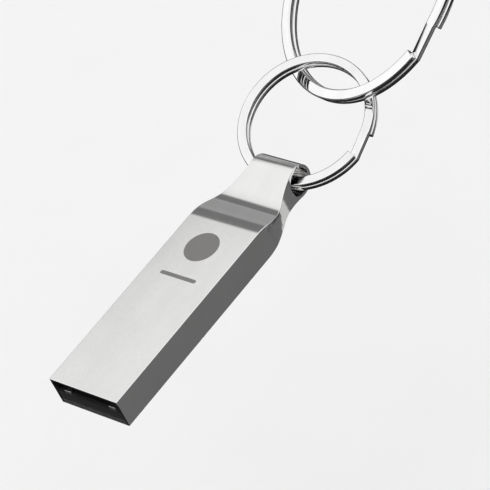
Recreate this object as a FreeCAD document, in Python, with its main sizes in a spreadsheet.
import FreeCAD, Part
import math
import os
import Sketcher
from FreeCAD import Placement, Rotation, Vector

# USB flash drive: a one-piece die-cast shell whose open end is the Type-A plug and
# whose other end narrows to a cross-drilled loop. A moulded memory module sits on a
# plastic tray inside the shell, and two linked split rings hang from the loop.
#
# Frame: the origin is the centre of the plug's mouth. x runs along the drive to the
# loop, y is across and z is up. All sizes are millimetres and degrees.

SIZES = {
    # shell: the plug section is the standard 12.0 x 4.5
    "shell_width": 12.0,
    "shell_height": 4.5,
    "shell_wall": 0.3,
    "rear_wall": 1.8,
    "edge_round": 0.12,
    # tail: a bend down each ramp to a waist, then out again to the loop
    "bend_radius": 8.0,
    "ramp_length": 4.0,
    "waist_thickness": 1.9,
    "waist_blend": 5.2,
    "waist_to_loop": 6.05,
    "loop_wall": 0.5,
    "loop_hole_break": 0.15,
    "loop_width": 7.12,
    # each side's taper: its ends, its slope against the chord's, the shoulder's share
    "shoulder_setback": 0.4,
    "taper_past_loop": 0.55,
    "taper_steepness": 1.71,
    "shoulder_share": 0.41,
    # module: substrate on top, moulded cap below, contacts on the substrate
    "module_length": 24.6,
    "module_side_gap": 0.1,
    "module_front_gap": 0.03,
    "module_rear_gap": 0.45,
    "substrate_thickness": 0.3,
    "cap_thickness": 1.1,
    "contact_thickness": 0.05,
    "contact_width": 1.0,
    "contact_back": 8.95,
    "power_contact_setback": 0.95,
    "data_contact_setback": 1.95,
    "power_contact_y": 3.5,
    "data_contact_y": 1.0,
    # what is moulded into the cap, hung from the substrate's underside
    "die_film": 0.03,
    "die_thickness": 0.15,
    "die_side_margin": 1.3,
    "die_rear_margin": 1.65,
    "memory_step": 0.5,
    "controller_length": 3.4,
    "controller_width": 3.0,
    "chip_length": 1.0,
    "chip_width": 0.5,
    "chip_height": 0.5,
    "resistor_height": 0.35,
    "chip_pitch": 1.6,
    "first_row": 2.95,
    "row_gap": 1.2,
    # tray and the tape under it
    "side_gap": 0.05,
    "tray_floor": 0.47,
    "tape_thickness": 0.1,
    "tape_end_margin": 4.6,
    "tape_side_margin": 1.15,
    "lip_thickness": 0.5,
    "lip_setback": 0.12,
    "lug_inset": 1.72,
    "lug_width": 1.0,
    "lug_height": 0.28,
    "lug_length": 0.8,
    "rear_block": 3.6,
    "rear_gap": 0.3,
    # split rings: flat wire, two turns and a short crossing between them
    "turn_gap": 0.06,
    "wire_break": 0.16,
    "small_outer_radius": 9.75,
    "small_wire_width": 1.35,
    "small_wire_height": 0.9,
    "small_crossing": 22.0,
    "small_end_angle": -106.0,
    "large_outer_radius": 16.4,
    "large_wire_width": 1.6,
    "large_wire_height": 0.83,
    "large_crossing": 17.0,
    "large_end_angle": -122.0,
    # how the rings lie: seat in the cross hole, rise about y, roll about the ring's own x
    "wire_clearance": 0.178,
    "wire_offset": 0.04,
    "small_slip": 0.04,
    "small_rise": 17.6,
    "small_roll": -8.6,
    "large_rise": 30.0,
    # the link between them: the way there in each ring's plane, overlap, clear height
    "small_bearing": -3.14,
    "large_bearing": -5.23,
    "link_depth": 3.085,
    "link_gap": 0.3,
}

os.makedirs("parts", exist_ok=True)
doc = FreeCAD.newDocument("UsbFlashDrive")
sheet = doc.addObject("Spreadsheet::Sheet", "Sizes")
for row, (alias, size) in enumerate(SIZES.items(), start=1):
    sheet.set("A%d" % row, alias)
    sheet.set("B%d" % row, str(size))
    sheet.setAlias("B%d" % row, alias)
doc.recompute()

# how near two places are when a test takes them as one
NEAR = 1e-4


def value(expression):
    """The number that an expression of the sheet's sizes comes to."""
    return float(FreeCAD.Units.Quantity(str(sheet.evalExpression(expression))).Value)


def origin_plane(body, role):
    """One of a body's own origin planes."""
    return next(feature for feature in body.Origin.OriginFeatures if feature.Role == role)


def new_body(label):
    """An empty body, labelled as the node it becomes."""
    body = doc.addObject("PartDesign::Body", label)
    body.Label = label
    return body


def new_sketch(body, role, name, offset="0"):
    """A sketch on one of the body's origin planes, moved along that plane's normal."""
    sketch = body.newObject("Sketcher::SketchObject", name)
    sketch.AttachmentSupport = [(origin_plane(body, role), "")]
    sketch.MapMode = "FlatFace"
    sketch.setExpression("AttachmentOffset.Base.z", offset)
    return sketch


def pin(sketch, geometry, point, across, up):
    """Hold one point of a sketch at two expressions, measured from the sketch's origin."""
    for kind, expression in (("DistanceX", across), ("DistanceY", up)):
        rule = Sketcher.Constraint(kind, -1, 1, geometry, point, value(expression))
        index = sketch.addConstraint(rule)
        sketch.setExpression("Constraints[%d]" % index, expression)


def polygon(sketch, corners):
    """A closed outline of straight lines through corners given as pairs of expressions."""
    spots = [Vector(value(across), value(up), 0) for across, up in corners]
    first = sketch.GeometryCount
    for index, spot in enumerate(spots):
        sketch.addGeometry(Part.LineSegment(spot, spots[(index + 1) % len(spots)]), False)
    for index, (across, up) in enumerate(corners):
        after = first + (index + 1) % len(corners)
        sketch.addConstraint(Sketcher.Constraint("Coincident", first + index, 2, after, 1))
        pin(sketch, first + index, 1, across, up)


def rectangle(sketch, low_x, low_y, high_x, high_y):
    """A rectangle between two corners given as expressions."""
    polygon(sketch, [(low_x, low_y), (high_x, low_y), (high_x, high_y), (low_x, high_y)])


def extruded(body, kind, sketch, name, length, symmetric=False):
    """A pad or pocket of a sketch, on one side of it or on both."""
    feature = body.newObject("PartDesign::" + kind, name)
    feature.Profile = sketch
    feature.setExpression("Length", length)
    if symmetric:
        feature.SideType = "Symmetric"
    doc.recompute()
    return feature


def mirrored(body, feature, role, name):
    """The same feature again on the other side of an origin plane."""
    mirror = body.newObject("PartDesign::Mirrored", name)
    mirror.Originals = [feature]
    mirror.MirrorPlane = (origin_plane(body, role), [""])
    body.Tip = mirror
    doc.recompute()
    return mirror


def block(label, low_x, mid_y, low_z, length, width, height):
    """A plain box, centred across, with every size and place an expression."""
    box = doc.addObject("Part::Box", label)
    box.Label = label
    box.setExpression("Length", length)
    box.setExpression("Width", width)
    box.setExpression("Height", height)
    box.setExpression("Placement.Base.x", low_x)
    box.setExpression("Placement.Base.y", "(%s) - (%s) / 2" % (mid_y, width))
    box.setExpression("Placement.Base.z", low_z)
    return box


def dressed(body, kind, name, source, edges, size, setting):
    """A fillet or chamfer of the edges that a test picks from the feature before it."""
    names = []
    for index, edge in enumerate(source.Shape.Edges, start=1):
        if edges(edge):
            names.append("Edge%d" % index)
    feature = body.newObject("PartDesign::" + kind, name)
    feature.Base = (source, names)
    feature.setExpression(setting, size)
    doc.recompute()
    return feature


def half_height(ring):
    """From the middle of a ring to its top: one turn of wire and half the gap."""
    return "(Sizes.turn_gap / 2 + Sizes.%s_wire_height)" % ring


def inner_radius(ring):
    """A ring's inner radius."""
    return "(Sizes.%s_outer_radius - Sizes.%s_wire_width)" % (ring, ring)


# ---------------------------------------------------------------- shell

WALL = "Sizes.shell_wall"
WIDTH = "Sizes.shell_width"
HEIGHT = "Sizes.shell_height"
TOP = "(%s / 2)" % HEIGHT
UNDERSIDE = "(-%s / 2)" % HEIGHT
CAVITY_TOP = "(%s - %s)" % (TOP, WALL)
CAVITY_FLOOR = "(%s + %s)" % (UNDERSIDE, WALL)
CAVITY_WIDTH = "(%s - 2 * %s)" % (WIDTH, WALL)

# the places along the drive, from the mouth to the loop
LIP_BACK = "(Sizes.lip_setback + Sizes.lip_thickness)"
MODULE_FRONT = "(%s + Sizes.module_front_gap)" % LIP_BACK
MODULE_END = "(%s + Sizes.module_length)" % MODULE_FRONT
BLOCK_FRONT = "(%s + Sizes.module_rear_gap)" % MODULE_END
TRAY_END = "(%s + Sizes.rear_block)" % BLOCK_FRONT
CAVITY_END = "(%s + Sizes.rear_gap)" % TRAY_END
BEND_X = "(%s + Sizes.rear_wall)" % CAVITY_END
WAIST_X = "(%s + Sizes.ramp_length)" % BEND_X
LOOP_X = "(%s + Sizes.waist_to_loop)" % WAIST_X

# the cross hole clears the small ring's two turns of wire, which pass through it
WIRE_SEAT = "(Sizes.small_wire_width + Sizes.wire_offset)"
WIRE_CORNER = "sqrt(%s ^ 2 + %s ^ 2)" % (WIRE_SEAT, half_height("small"))
HOLE_RADIUS = "(%s + Sizes.wire_clearance)" % WIRE_CORNER
LOOP_RADIUS = "(%s + Sizes.loop_wall)" % HOLE_RADIUS
LOOP_Z = "(%s + %s)" % (UNDERSIDE, LOOP_RADIUS)

# each side's taper: the slope of its straight run, and its two arcs
SHOULDER_X = "(%s + Sizes.shoulder_setback)" % BEND_X
TAPER_END = "(%s + Sizes.taper_past_loop)" % LOOP_X
TAPER_RUN = "(%s - %s)" % (TAPER_END, SHOULDER_X)
TAPER_DROP = "((%s - Sizes.loop_width) / 2)" % WIDTH
TAPER_ANGLE = "(Sizes.taper_steepness * atan(%s / %s))" % (TAPER_DROP, TAPER_RUN)
TAPER_RADII = "((%s * sin(%s) - %s * cos(%s)) / (1 - cos(%s)))" % (
    TAPER_RUN,
    TAPER_ANGLE,
    TAPER_DROP,
    TAPER_ANGLE,
    TAPER_ANGLE,
)
SHOULDER_RADIUS = "(Sizes.shoulder_share * %s)" % TAPER_RADII
SWEEP_RADIUS = "(%s - %s)" % (TAPER_RADII, SHOULDER_RADIUS)


def shell_profile(body):
    """The side view: a flat case, two ramps into the waist and the round loop."""
    sketch = new_sketch(body, "XZ_Plane", "side_view")
    corners = [
        (WAIST_X, "-Sizes.waist_thickness / 2"),
        (BEND_X, UNDERSIDE),
        ("0", UNDERSIDE),
        ("0", TOP),
        (BEND_X, TOP),
        (WAIST_X, "Sizes.waist_thickness / 2"),
    ]
    spots = [Vector(value(across), value(up), 0) for across, up in corners]
    centre = Vector(value(LOOP_X), value(LOOP_Z), 0)
    radius = value(LOOP_RADIUS)

    def touch(spot, side):
        """Where the line from a waist corner touches the loop."""
        run = spot - centre
        turn = math.atan2(run.y, run.x) + side * math.acos(radius / run.Length)
        return centre + Vector(radius * math.cos(turn), radius * math.sin(turn), 0), turn

    high, high_turn = touch(spots[-1], -1)
    low, low_turn = touch(spots[0], 1)
    lines = []
    for start, end in zip(spots[:-1], spots[1:]):
        lines.append(sketch.addGeometry(Part.LineSegment(start, end), False))
    rise = sketch.addGeometry(Part.LineSegment(spots[-1], high), False)
    circle = Part.Circle(centre, Vector(0, 0, 1), radius)
    round_end = sketch.addGeometry(Part.ArcOfCircle(circle, low_turn, high_turn), False)
    fall = sketch.addGeometry(Part.LineSegment(low, spots[0]), False)
    for before, after in zip(lines, lines[1:] + [rise]):
        sketch.addConstraint(Sketcher.Constraint("Coincident", before, 2, after, 1))
    sketch.addConstraint(Sketcher.Constraint("Coincident", fall, 2, lines[0], 1))
    sketch.addConstraint(Sketcher.Constraint("Tangent", rise, 2, round_end, 2))
    sketch.addConstraint(Sketcher.Constraint("Tangent", round_end, 1, fall, 1))
    for line, (across, up) in zip(lines + [rise], corners):
        pin(sketch, line, 1, across, up)
    pin(sketch, round_end, 3, LOOP_X, LOOP_Z)
    rule = sketch.addConstraint(Sketcher.Constraint("Radius", round_end, radius))
    sketch.setExpression("Constraints[%d]" % rule, LOOP_RADIUS)
    return sketch


def shell_taper(body):
    """The plan view of what one side loses: a shoulder, a straight run and a sweep to the loop."""
    sketch = new_sketch(body, "XY_Plane", "plan_taper")
    half = value(WIDTH + " / 2")
    loop_half = value("Sizes.loop_width / 2")
    slope = math.radians(value(TAPER_ANGLE))
    shoulder_x = value(SHOULDER_X)
    shoulder = value(SHOULDER_RADIUS)
    sweep = value(SWEEP_RADIUS)
    end_x = value(TAPER_END)
    outside = half + value(WALL)
    past_end = value("%s + %s" % (TAPER_END, LOOP_RADIUS))
    leave = Vector(shoulder_x + shoulder * math.sin(slope), half - shoulder * (1 - math.cos(slope)), 0)
    join = Vector(end_x - sweep * math.sin(slope), loop_half + sweep * (1 - math.cos(slope)), 0)
    quarter = math.pi / 2
    first = Part.Circle(Vector(shoulder_x, half - shoulder, 0), Vector(0, 0, 1), shoulder)
    second = Part.Circle(Vector(end_x, loop_half + sweep, 0), Vector(0, 0, 1), sweep)
    corner = Vector(shoulder_x, half, 0)
    above = Vector(shoulder_x, outside, 0)
    far = Vector(past_end, loop_half, 0)
    beyond = Vector(past_end, outside, 0)
    bend = sketch.addGeometry(Part.ArcOfCircle(first, quarter - slope, quarter), False)
    straight = sketch.addGeometry(Part.LineSegment(leave, join), False)
    curve = sketch.addGeometry(Part.ArcOfCircle(second, 3 * quarter - slope, 3 * quarter), False)
    along = sketch.addGeometry(Part.LineSegment(Vector(end_x, loop_half, 0), far), False)
    back = sketch.addGeometry(Part.LineSegment(far, beyond), False)
    top = sketch.addGeometry(Part.LineSegment(beyond, above), False)
    down = sketch.addGeometry(Part.LineSegment(above, corner), False)
    rules = [
        ("Coincident", down, 2, bend, 2),
        ("Tangent", bend, 1, straight, 1),
        ("Tangent", straight, 2, curve, 1),
        ("Tangent", curve, 2, along, 1),
        ("Coincident", along, 2, back, 1),
        ("Coincident", back, 2, top, 1),
        ("Coincident", top, 2, down, 1),
        ("Horizontal", along),
        ("Horizontal", top),
        ("Vertical", back),
        ("Vertical", down),
    ]
    for rule in rules:
        sketch.addConstraint(Sketcher.Constraint(*rule))
    angle = sketch.addConstraint(Sketcher.Constraint("Angle", straight, -slope))
    sketch.setExpression("Constraints[%d]" % angle, "-" + TAPER_ANGLE)
    radius = sketch.addConstraint(Sketcher.Constraint("Radius", bend, shoulder))
    sketch.setExpression("Constraints[%d]" % radius, SHOULDER_RADIUS)
    pin(sketch, bend, 2, SHOULDER_X, WIDTH + " / 2")
    across = sketch.addConstraint(Sketcher.Constraint("DistanceX", -1, 1, bend, 3, shoulder_x))
    sketch.setExpression("Constraints[%d]" % across, SHOULDER_X)
    pin(sketch, along, 1, TAPER_END, "Sizes.loop_width / 2")
    pin(sketch, top, 1, "%s + %s" % (TAPER_END, LOOP_RADIUS), "%s / 2 + %s" % (WIDTH, WALL))
    return sketch


def shell():
    """The die-cast shell: plug, case and loop in one piece."""
    body = new_body("shell")
    side = shell_profile(body)
    blank = extruded(body, "Pad", side, "blank", WIDTH, symmetric=True)

    def across_at(place):
        """A test for the sharp edges right across the blank at one place along it."""
        return lambda edge: abs(edge.BoundBox.Center.x - place) < NEAR and edge.BoundBox.YLength > NEAR

    waist = dressed(
        body, "Fillet", "waist_blend", blank, across_at(value(WAIST_X)), "Sizes.waist_blend", "Radius"
    )
    dressed(body, "Fillet", "case_bend", waist, across_at(value(BEND_X)), "Sizes.bend_radius", "Radius")
    plan = shell_taper(body)
    taper = extruded(body, "Pocket", plan, "taper", "2 * " + HEIGHT, symmetric=True)
    outside = mirrored(body, taper, "XZ_Plane", "both_tapers")
    case_length = value(CAVITY_END)
    half = value(WIDTH + " / 2")

    def case_corner(edge):
        """The four long corners of the straight case."""
        box = edge.BoundBox
        along = box.XMin < NEAR and box.XMax > case_length
        return along and min(abs(box.YMin + half), abs(box.YMax - half)) < NEAR

    dressed(body, "Fillet", "case_corners", outside, case_corner, "Sizes.edge_round", "Radius")
    loop_hole(body)
    hollow = new_sketch(body, "YZ_Plane", "cavity_outline")
    side_wall = "%s / 2" % CAVITY_WIDTH
    rectangle(hollow, "-" + side_wall, CAVITY_FLOOR, side_wall, CAVITY_TOP)
    cavity = extruded(body, "Pocket", hollow, "cavity", CAVITY_END)
    cavity.Reversed = True
    return body


def loop_hole(body):
    """The cross hole through the loop, with its two mouths broken."""
    sketch = new_sketch(body, "XZ_Plane", "loop_hole_circle")
    centre = Vector(value(LOOP_X), value(LOOP_Z), 0)
    radius = value(HOLE_RADIUS)
    ring = sketch.addGeometry(Part.Circle(centre, Vector(0, 0, 1), radius), False)
    pin(sketch, ring, 3, LOOP_X, LOOP_Z)
    rule = sketch.addConstraint(Sketcher.Constraint("Radius", ring, radius))
    sketch.setExpression("Constraints[%d]" % rule, HOLE_RADIUS)
    drilled = extruded(body, "Pocket", sketch, "loop_hole", WIDTH, symmetric=True)

    def mouth(edge):
        """The hole's two round edges."""
        round_edge = isinstance(edge.Curve, Part.Circle) and abs(edge.Curve.Radius - radius) < NEAR
        return round_edge and abs(edge.Curve.Center.x - centre.x) < NEAR

    dressed(body, "Chamfer", "hole_break", drilled, mouth, "Sizes.loop_hole_break", "Size")


# ---------------------------------------------------------------- tray and its tape

TAPE_TOP = "(%s + Sizes.tape_thickness)" % CAVITY_FLOOR
MODULE_LOW = "(%s + Sizes.tray_floor)" % TAPE_TOP
SUBSTRATE_LOW = "(%s + Sizes.cap_thickness)" % MODULE_LOW
TONGUE = "(%s + Sizes.substrate_thickness)" % SUBSTRATE_LOW
TRAY_WIDTH = "(%s - 2 * Sizes.side_gap)" % CAVITY_WIDTH


def tray():
    """The plastic tray: a floor, a front lip with two lugs and a block behind the module."""
    body = new_body("tray")
    side = new_sketch(body, "XZ_Plane", "tray_side")
    block_top = "(%s - Sizes.side_gap)" % CAVITY_TOP
    polygon(
        side,
        [
            ("Sizes.lip_setback", TAPE_TOP),
            (TRAY_END, TAPE_TOP),
            (TRAY_END, block_top),
            (BLOCK_FRONT, block_top),
            (BLOCK_FRONT, MODULE_LOW),
            (LIP_BACK, MODULE_LOW),
            (LIP_BACK, TONGUE),
            ("Sizes.lip_setback", TONGUE),
        ],
    )
    extruded(body, "Pad", side, "tray_blank", TRAY_WIDTH, symmetric=True)
    lug = new_sketch(body, "XY_Plane", "lug_plan", TONGUE)
    middle = "(%s / 2 - Sizes.lug_inset)" % TRAY_WIDTH
    low_y = "(%s - Sizes.lug_width / 2)" % middle
    high_y = "(%s + Sizes.lug_width / 2)" % middle
    start = "(Sizes.lip_setback + Sizes.lip_thickness / 2)"
    rectangle(lug, start, low_y, "(%s + Sizes.lug_length)" % start, high_y)
    raised = extruded(body, "Pad", lug, "lug", "Sizes.lug_height")
    mirrored(body, raised, "XZ_Plane", "both_lugs")
    return body


def tape():
    """The double-sided tape under the tray."""
    return block(
        "tray_tape",
        "Sizes.lip_setback + Sizes.tape_end_margin",
        "0",
        CAVITY_FLOOR,
        "(%s - Sizes.lip_setback - 2 * Sizes.tape_end_margin)" % TRAY_END,
        "(%s - 2 * Sizes.tape_side_margin)" % TRAY_WIDTH,
        "Sizes.tape_thickness",
    )


# ---------------------------------------------------------------- memory module

MODULE_WIDTH = "(%s - 2 * Sizes.module_side_gap)" % CAVITY_WIDTH
CHIPS = ("a", "b", "c")

# the rows of what the cap holds, from the module's front edge back
CAPACITOR_X = "(%s + Sizes.first_row)" % MODULE_FRONT
ROW_STEP = "(Sizes.chip_length / 2 + Sizes.row_gap + Sizes.controller_length / 2)"
CONTROLLER_X = "(%s + %s)" % (CAPACITOR_X, ROW_STEP)
RESISTOR_X = "(%s + %s)" % (CONTROLLER_X, ROW_STEP)
MEMORY_FRONT = "(%s + Sizes.chip_length / 2 + Sizes.row_gap)" % RESISTOR_X
MEMORY_BACK = "(%s - Sizes.die_rear_margin - Sizes.memory_step)" % MODULE_END
MEMORY_LENGTH = "(%s - %s)" % (MEMORY_BACK, MEMORY_FRONT)
MEMORY_WIDTH = "(%s - 2 * Sizes.die_side_margin)" % MODULE_WIDTH
MEMORY_X = "((%s + %s) / 2)" % (MEMORY_FRONT, MEMORY_BACK)


def hung(label, mid_x, mid_y, depth, length, width, height):
    """A block whose top is a given depth under the substrate."""
    low_x = "(%s - %s / 2)" % (mid_x, length)
    low_z = "(%s - %s - %s)" % (SUBSTRATE_LOW, depth, height)
    return block(label, low_x, mid_y, low_z, length, width, height)


def stacked_die(name, mid_x, levels_above, length, width):
    """A die and the film that bonds it, under any dies already there."""
    level = "(Sizes.die_film + Sizes.die_thickness)"
    film_depth = "(%d * %s)" % (levels_above, level)
    die_depth = "(%s + Sizes.die_film)" % film_depth
    film = hung(name + "_film", mid_x, "0", film_depth, length, width, "Sizes.die_film")
    die = hung(name + "_die", mid_x, "0", die_depth, length, width, "Sizes.die_thickness")
    return [film, die]


def chip_row(name, mid_x, height):
    """Three chips side by side, soldered to the substrate's underside."""
    row = []
    for index, letter in enumerate(CHIPS):
        mid_y = "(%d * Sizes.chip_pitch)" % (index - 1)
        label = "%s_%s" % (name, letter)
        row.append(hung(label, mid_x, mid_y, "0", "Sizes.chip_length", "Sizes.chip_width", height))
    return row


def embedded_pieces():
    """Everything that the cap is moulded around."""
    memory = (MEMORY_LENGTH, MEMORY_WIDTH)
    pieces = stacked_die("memory_lower", MEMORY_X, 0, *memory)
    pieces += stacked_die("memory_upper", "(%s + Sizes.memory_step)" % MEMORY_X, 1, *memory)
    controller = ("Sizes.controller_length", "Sizes.controller_width")
    pieces += stacked_die("controller", CONTROLLER_X, 0, *controller)
    pieces += chip_row("capacitor", CAPACITOR_X, "Sizes.chip_height")
    pieces += chip_row("resistor", RESISTOR_X, "Sizes.resistor_height")
    return pieces


def module(pieces):
    """The substrate and the cap moulded under it."""
    outline = ("Sizes.module_length", MODULE_WIDTH)
    substrate = block(
        "substrate", MODULE_FRONT, "0", SUBSTRATE_LOW, *outline, "Sizes.substrate_thickness"
    )
    blank = block("cap_blank", MODULE_FRONT, "0", MODULE_LOW, *outline, "Sizes.cap_thickness")
    filling = doc.addObject("Part::MultiFuse", "cap_filling")
    filling.Shapes = pieces
    cap = doc.addObject("Part::Cut", "moulded_cap")
    cap.Label = "moulded_cap"
    cap.Base = blank
    cap.Tool = filling
    return [substrate, cap]


def contacts():
    """The four plated contacts; the power pair starts nearer the mouth and mates first."""
    places = {
        "contact_supply": ("Sizes.power_contact_setback", "-Sizes.power_contact_y"),
        "contact_data_minus": ("Sizes.data_contact_setback", "-Sizes.data_contact_y"),
        "contact_data_plus": ("Sizes.data_contact_setback", "Sizes.data_contact_y"),
        "contact_ground": ("Sizes.power_contact_setback", "Sizes.power_contact_y"),
    }
    section = ("Sizes.contact_width", "Sizes.contact_thickness")
    plates = []
    for label, (setback, mid_y) in places.items():
        start = "(%s + %s)" % (MODULE_FRONT, setback)
        length = "(Sizes.contact_back - %s)" % setback
        plates.append(block(label, start, mid_y, TONGUE, length, *section))
    return plates


# ---------------------------------------------------------------- split rings

SMALL_REACH = "(Sizes.small_outer_radius - %s)" % WIRE_SEAT

# the two rings cross on each side of the link, and the twist keeps them apart there
LINK_LENGTH = "(%s + %s - Sizes.link_depth)" % (inner_radius("small"), inner_radius("large"))
LINK_ALONG = "((%s ^ 2 + %s ^ 2 - %s ^ 2) / (2 * %s))" % (
    LINK_LENGTH,
    inner_radius("small"),
    inner_radius("large"),
    LINK_LENGTH,
)
LINK_SPREAD = "sqrt(%s ^ 2 - %s ^ 2)" % (inner_radius("small"), LINK_ALONG)
LINK_HEIGHT = "(%s + %s + Sizes.link_gap)" % (half_height("small"), half_height("large"))
LINK_TWIST = "atan(%s / %s)" % (LINK_HEIGHT, LINK_SPREAD)


def wire_section(body, name, ring, level, turn):
    """The flat wire's section, on the plane at an angle about the ring's axis."""
    sketch = new_sketch(body, "XZ_Plane", name)
    sketch.AttachmentOffset = Placement(Vector(0, 0, 0), Rotation(Vector(0, 1, 0), value(turn)))
    sketch.setExpression("AttachmentOffset.Rotation.Angle", turn)
    outer = "Sizes.%s_outer_radius" % ring
    inner = inner_radius(ring)
    near = "(Sizes.turn_gap / 2)"
    far = half_height(ring)
    low, high = (near, far) if level > 0 else ("-" + far, "-" + near)
    corner = "Sizes.wire_break"
    polygon(
        sketch,
        [
            ("%s + %s" % (inner, corner), low),
            ("%s - %s" % (outer, corner), low),
            (outer, "%s + %s" % (low, corner)),
            (outer, "%s - %s" % (high, corner)),
            ("%s - %s" % (outer, corner), high),
            ("%s + %s" % (inner, corner), high),
            (inner, "%s - %s" % (high, corner)),
            (inner, "%s + %s" % (low, corner)),
        ],
    )
    return sketch


def turned(body, sketch, name, angle):
    """One turn of wire, clockwise from its section."""
    feature = body.newObject("PartDesign::Revolution", name)
    feature.Profile = sketch
    feature.ReferenceAxis = (sketch, ["V_Axis"])
    feature.setExpression("Angle", angle)
    feature.Reversed = True
    doc.recompute()
    return feature


def split_ring(ring):
    """Two flat turns of one wire, joined by a short straight crossing."""
    body = new_body(ring + "_split_ring")
    crossing = "Sizes.%s_crossing" % ring
    sweep = "360 - " + crossing
    turned(body, wire_section(body, "upper_start", ring, 1, "0"), "upper_turn", sweep)
    top = wire_section(body, "crossing_top", ring, 1, crossing)
    foot = wire_section(body, "crossing_foot", ring, -1, "0")
    bridge = body.newObject("PartDesign::AdditiveLoft", "crossing")
    bridge.Profile = top
    bridge.Sections = [foot]
    bridge.Ruled = True
    doc.recompute()
    turned(body, wire_section(body, "lower_start", ring, -1, "0"), "lower_turn", sweep)
    return body


def lie(ring, roll):
    """How a ring's plane lies: a rise about y, then a roll about its own x."""
    rise = Rotation(Vector(0, 1, 0), -value("Sizes.%s_rise" % ring))
    return rise * Rotation(Vector(1, 0, 0), -value(roll))


def along(plane, ring, distance):
    """A step in a ring's plane, on its bearing to the other ring."""
    bearing = Rotation(Vector(0, 0, 1), value("Sizes.%s_bearing" % ring))
    return (plane * bearing).multVec(Vector(value(distance), 0, 0))


def rings():
    """Both rings, placed: the small one through the loop, the large one through the small."""
    small = split_ring("small")
    large = split_ring("large")
    hinge = Vector(value(LOOP_X), 0, value(LOOP_Z))
    rise = Rotation(Vector(0, 1, 0), -value("Sizes.small_rise"))
    small_centre = hinge + rise.multVec(Vector(value(SMALL_REACH), value("Sizes.small_slip"), 0))
    small_plane = lie("small", "Sizes.small_roll")
    large_plane = lie("large", "Sizes.small_roll * 1 deg + " + LINK_TWIST)
    crossing = small_centre + along(small_plane, "small", LINK_ALONG)
    large_centre = crossing + along(large_plane, "large", "%s - %s" % (LINK_LENGTH, LINK_ALONG))
    for body, ring, centre, plane in (
        (small, "small", small_centre, small_plane),
        (large, "large", large_centre, large_plane),
    ):
        ends = Rotation(Vector(0, 0, 1), value("Sizes.%s_end_angle" % ring))
        body.Placement = Placement(centre, plane * ends)
    return [small, large]


# ---------------------------------------------------------------- build, check and write

chips = embedded_pieces()
nodes = [shell(), tray(), tape()] + module(chips) + chips + contacts() + rings()
doc.recompute()

for item in doc.Objects:
    if "Invalid" in item.State or "Error" in item.State:
        raise RuntimeError("%s failed to build: %s" % (item.Name, item.State))
for node in nodes:
    if node.Shape.isNull() or not node.Shape.isValid():
        raise RuntimeError("%s has no valid shape" % node.Label)
    if len(node.Shape.Solids) != 1:
        raise RuntimeError("%s is %d solids" % (node.Label, len(node.Shape.Solids)))
    node.Shape.exportStep("parts/%s.step" % node.Label)
    print("%-20s %9.3f mm3" % (node.Label, node.Shape.Volume))
